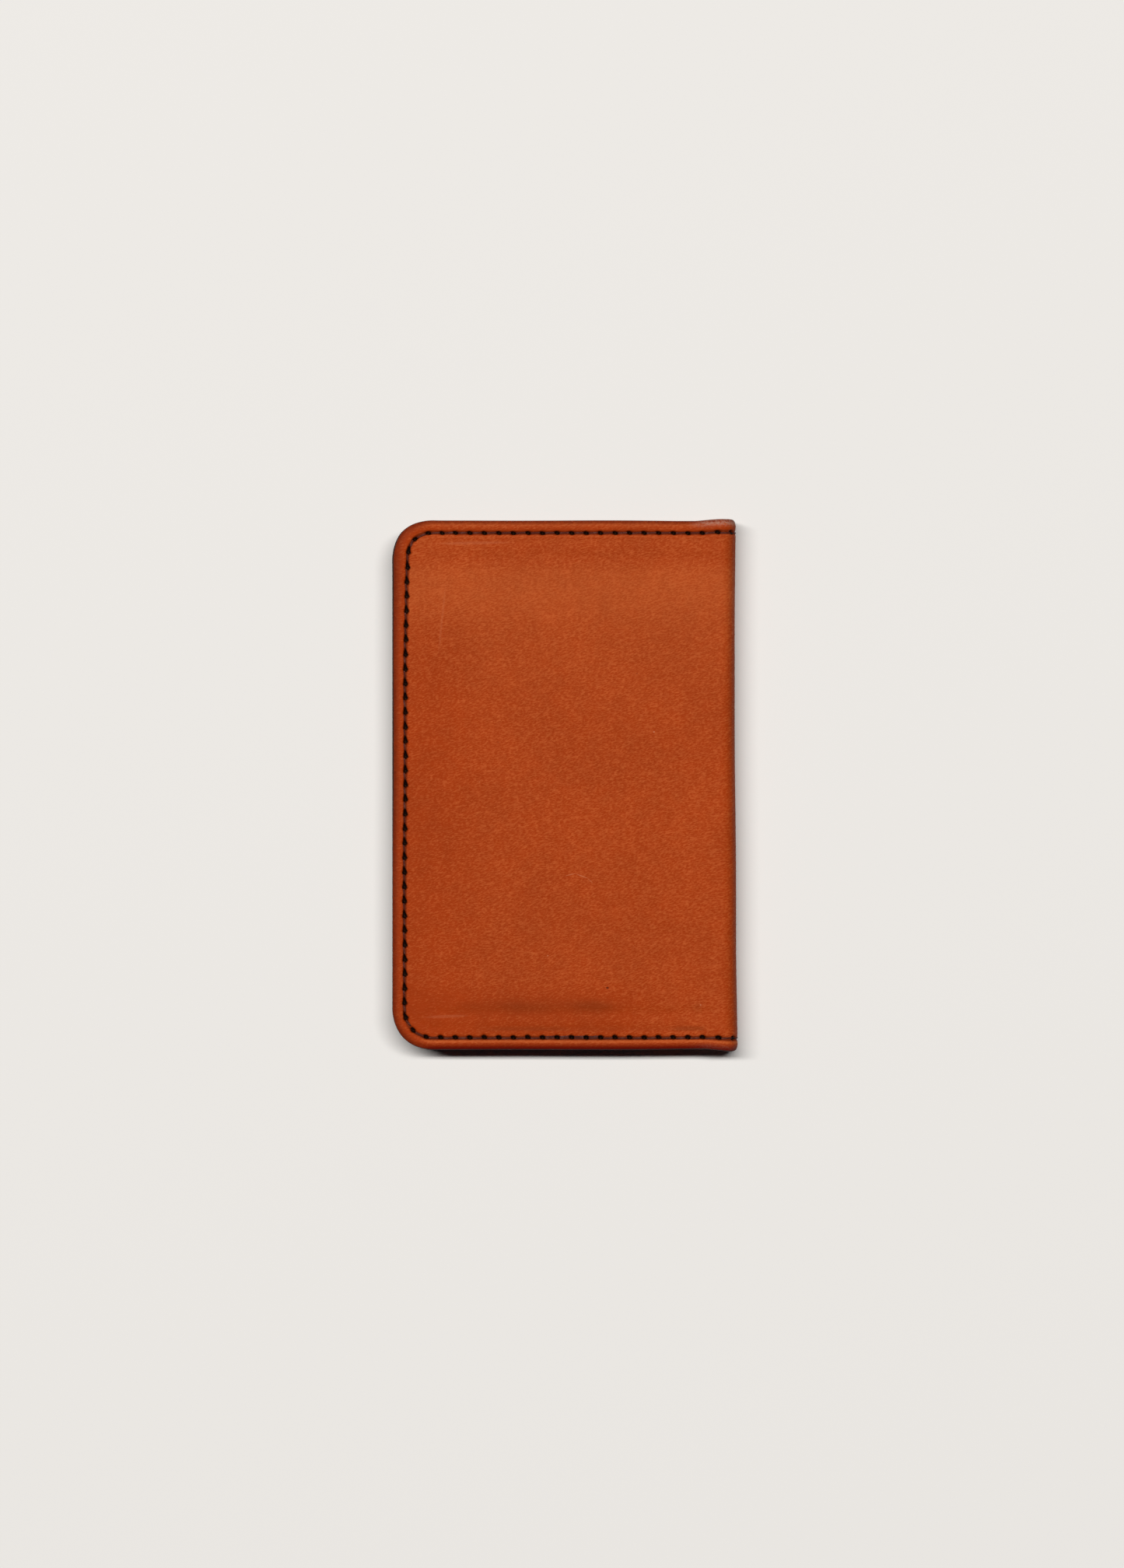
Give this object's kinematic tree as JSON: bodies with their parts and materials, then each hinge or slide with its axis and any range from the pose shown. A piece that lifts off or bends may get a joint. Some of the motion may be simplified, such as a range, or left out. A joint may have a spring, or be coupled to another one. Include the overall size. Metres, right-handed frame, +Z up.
{
  "type": "folding card holder",
  "caption": "Folding leather card holder: a stitched cover that opens like a book on a flexible spine, with card pockets inside both halves.",
  "frame": {"origin": "middle of the closed holder's footprint, on the surface it lies on", "axes": "+Z up through the closed holder, +Y along the fold, +X towards the fold"},
  "size_m": [0.066, 0.102, 0.0078],
  "materials": {
    "cover_leather": "waxed full-grain cognac leather, fine pebble grain, dark burnished edges",
    "pocket_leather": "thinner matching leather, satin",
    "thread": "waxed dark brown twisted thread"
  },
  "bodies": {
    "back_half": {"cover_back": "cover_leather", "pocket_back": "pocket_leather", "slot_back": "pocket_leather", "needle_thread_back": "thread", "bobbin_thread_back": "thread"},
    "spine": {"cover_spine": "cover_leather", "needle_thread_spine": "thread", "bobbin_thread_spine": "thread"},
    "front_half": {"cover_front": "cover_leather", "pocket_front": "pocket_leather", "needle_thread_front": "thread", "bobbin_thread_front": "thread"}
  },
  "joints": [
    {"name": "lower_fold", "type": "hinge", "parent": "back_half", "child": "spine", "pos_m": [0.03235, 0, 0.00065], "axis": [0, 1, 0], "range_deg": [0, 90]},
    {"name": "upper_fold", "type": "hinge", "parent": "spine", "child": "front_half", "pos_m": [0.03235, 0, 0.00715], "axis": [0, 1, 0], "range_deg": [0, 90]}
  ],
  "couplings": [
    {"joint": "lower_fold", "follows": "upper_fold", "ratio": 1}
  ]
}
